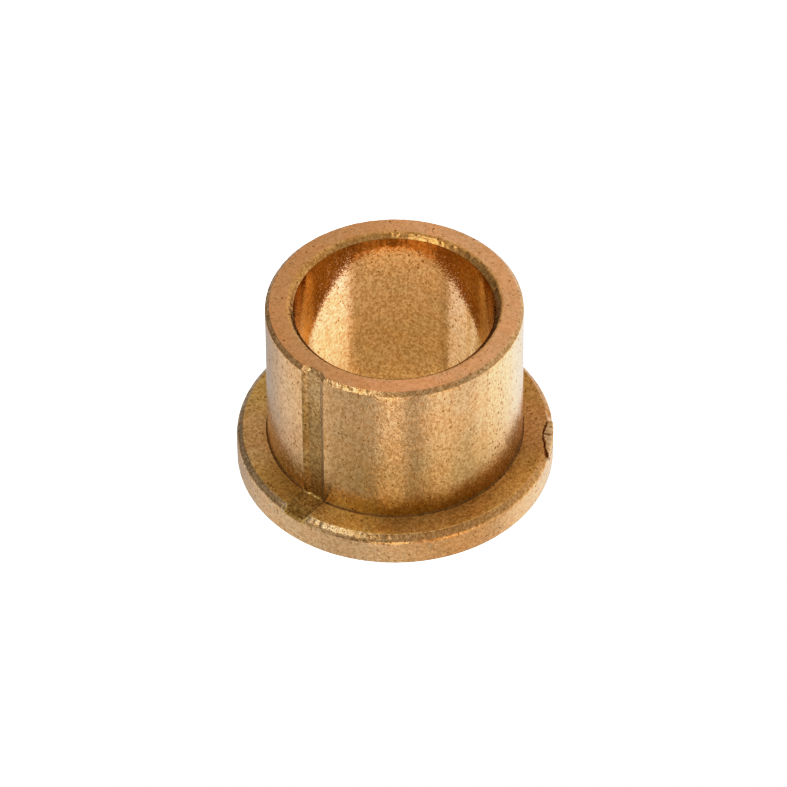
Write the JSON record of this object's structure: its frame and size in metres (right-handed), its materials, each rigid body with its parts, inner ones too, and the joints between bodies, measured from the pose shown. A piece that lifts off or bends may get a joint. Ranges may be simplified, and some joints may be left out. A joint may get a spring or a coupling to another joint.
{
  "type": "flanged sleeve bushing",
  "caption": "Flanged plain bearing bush in sintered bronze, with a shallow groove down the sleeve and across the flange, and a chipped rim.",
  "frame": {"origin": "on the bore axis, at the flange's thrust face, which the part stands on", "axes": "+Z along the bore axis from the flange towards the sleeve's free end; the groove faces -Y"},
  "size_m": [0.0224, 0.0224, 0.0144],
  "materials": {
    "sintered_bronze": "satin, as pressed and sized, with open pores",
    "broken_bronze": "matt granular break"
  },
  "bodies": {
    "root": {"flanged_bushing": "sintered_bronze", "rim_chip_long": "broken_bronze", "rim_chip_short": "broken_bronze"}
  },
  "joints": []
}
